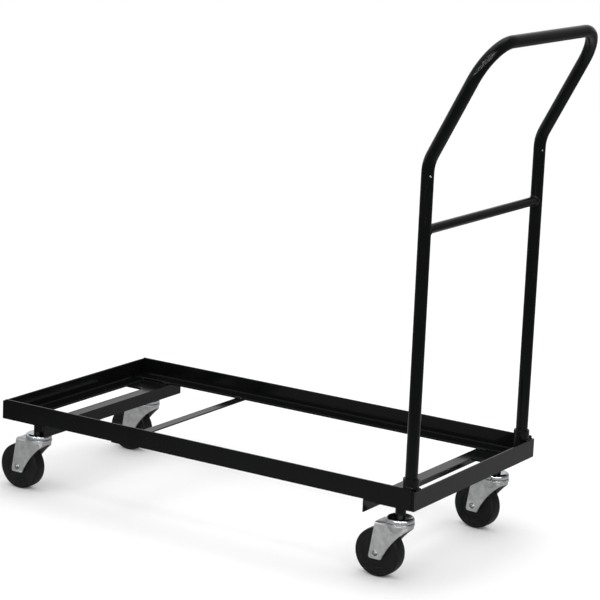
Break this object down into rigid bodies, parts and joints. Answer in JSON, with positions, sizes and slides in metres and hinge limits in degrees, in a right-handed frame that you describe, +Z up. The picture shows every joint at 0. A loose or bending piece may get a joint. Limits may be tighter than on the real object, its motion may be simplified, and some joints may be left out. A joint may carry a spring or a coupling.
{
  "type": "stacking chair trolley",
  "caption": "Push trolley for chairs: open rectangular angle-iron deck with ledges and cross members, plug-in bent-tube handle with a cross bar, and swivel casters under the corners.",
  "frame": {"origin": "on the floor, at the middle of the outline in X and Y", "axes": "+X from the low front end of the deck to the handle end, +Y across the deck to the right, +Z up"},
  "size_m": [1.1904, 0.508, 1.1024],
  "materials": {
    "black_powder_coat": "semi-gloss",
    "zinc_plate": "satin",
    "bright_steel": "bright",
    "black_plastic": "matte",
    "black_rubber": "matte"
  },
  "bodies": {
    "frame": {"left_side_rail": "black_powder_coat", "right_side_rail": "black_powder_coat", "front_end_rail": "black_powder_coat", "rear_end_rail": "black_powder_coat", "front_cross_angle": "black_powder_coat", "rear_cross_angle": "black_powder_coat", "deck_strap": "black_powder_coat", "caster_bosses": "black_powder_coat", "left_handle_socket": "black_powder_coat", "right_handle_socket": "black_powder_coat", "front_left_plate": "black_powder_coat", "front_left_stem": "bright_steel", "front_left_top_race": "bright_steel", "front_left_washer": "zinc_plate", "front_right_plate": "black_powder_coat", "front_right_stem": "bright_steel", "front_right_top_race": "bright_steel", "front_right_washer": "zinc_plate", "rear_left_plate": "black_powder_coat", "rear_left_stem": "bright_steel", "rear_left_top_race": "bright_steel", "rear_left_washer": "zinc_plate", "rear_right_plate": "black_powder_coat", "rear_right_stem": "bright_steel", "rear_right_top_race": "bright_steel", "rear_right_washer": "zinc_plate"},
    "handle": {"left_handle_upright": "black_powder_coat", "right_handle_upright": "black_powder_coat", "handle_bow": "black_powder_coat", "handle_cross_bar": "black_powder_coat", "handle_rivets": "bright_steel"},
    "front_left_caster": {"front_left_fork": "zinc_plate", "front_left_axle": "bright_steel", "front_left_bush": "bright_steel", "front_left_balls": "bright_steel", "front_left_lower_race": "bright_steel"},
    "front_left_wheel": {"front_left_wheel_core": "black_plastic", "front_left_tyre": "black_rubber"},
    "front_right_caster": {"front_right_fork": "zinc_plate", "front_right_axle": "bright_steel", "front_right_bush": "bright_steel", "front_right_balls": "bright_steel", "front_right_lower_race": "bright_steel"},
    "front_right_wheel": {"front_right_wheel_core": "black_plastic", "front_right_tyre": "black_rubber"},
    "rear_left_caster": {"rear_left_fork": "zinc_plate", "rear_left_axle": "bright_steel", "rear_left_bush": "bright_steel", "rear_left_balls": "bright_steel", "rear_left_lower_race": "bright_steel"},
    "rear_left_wheel": {"rear_left_wheel_core": "black_plastic", "rear_left_tyre": "black_rubber"},
    "rear_right_caster": {"rear_right_fork": "zinc_plate", "rear_right_axle": "bright_steel", "rear_right_bush": "bright_steel", "rear_right_balls": "bright_steel", "rear_right_lower_race": "bright_steel"},
    "rear_right_wheel": {"rear_right_wheel_core": "black_plastic", "rear_right_tyre": "black_rubber"}
  },
  "joints": [
    {"name": "handle_lift", "type": "slide", "parent": "frame", "child": "handle", "axis": [0, 0, 1], "range_m": [0, 0.05]},
    {"name": "front_left_swivel", "type": "hinge", "parent": "frame", "child": "front_left_caster", "pos_m": [-0.50139, -0.2005, 0.125], "axis": [0, 0, 1], "continuous": true},
    {"name": "front_left_roll", "type": "hinge", "parent": "front_left_caster", "child": "front_left_wheel", "pos_m": [-0.54439, -0.2005, 0.0508], "axis": [0, 1, 0], "continuous": true},
    {"name": "front_right_swivel", "type": "hinge", "parent": "frame", "child": "front_right_caster", "pos_m": [-0.50139, 0.2005, 0.125], "axis": [0, 0, 1], "continuous": true},
    {"name": "front_right_roll", "type": "hinge", "parent": "front_right_caster", "child": "front_right_wheel", "pos_m": [-0.54439, 0.2005, 0.0508], "axis": [0, 1, 0], "continuous": true},
    {"name": "rear_left_swivel", "type": "hinge", "parent": "frame", "child": "rear_left_caster", "pos_m": [0.42061, -0.2005, 0.125], "axis": [0, 0, 1], "continuous": true},
    {"name": "rear_left_roll", "type": "hinge", "parent": "rear_left_caster", "child": "rear_left_wheel", "pos_m": [0.37761, -0.2005, 0.0508], "axis": [0, 1, 0], "continuous": true},
    {"name": "rear_right_swivel", "type": "hinge", "parent": "frame", "child": "rear_right_caster", "pos_m": [0.42061, 0.2005, 0.125], "axis": [0, 0, 1], "continuous": true},
    {"name": "rear_right_roll", "type": "hinge", "parent": "rear_right_caster", "child": "rear_right_wheel", "pos_m": [0.37798, 0.20611, 0.0508], "axis": [0.1305, 0.9914, 0], "continuous": true}
  ]
}
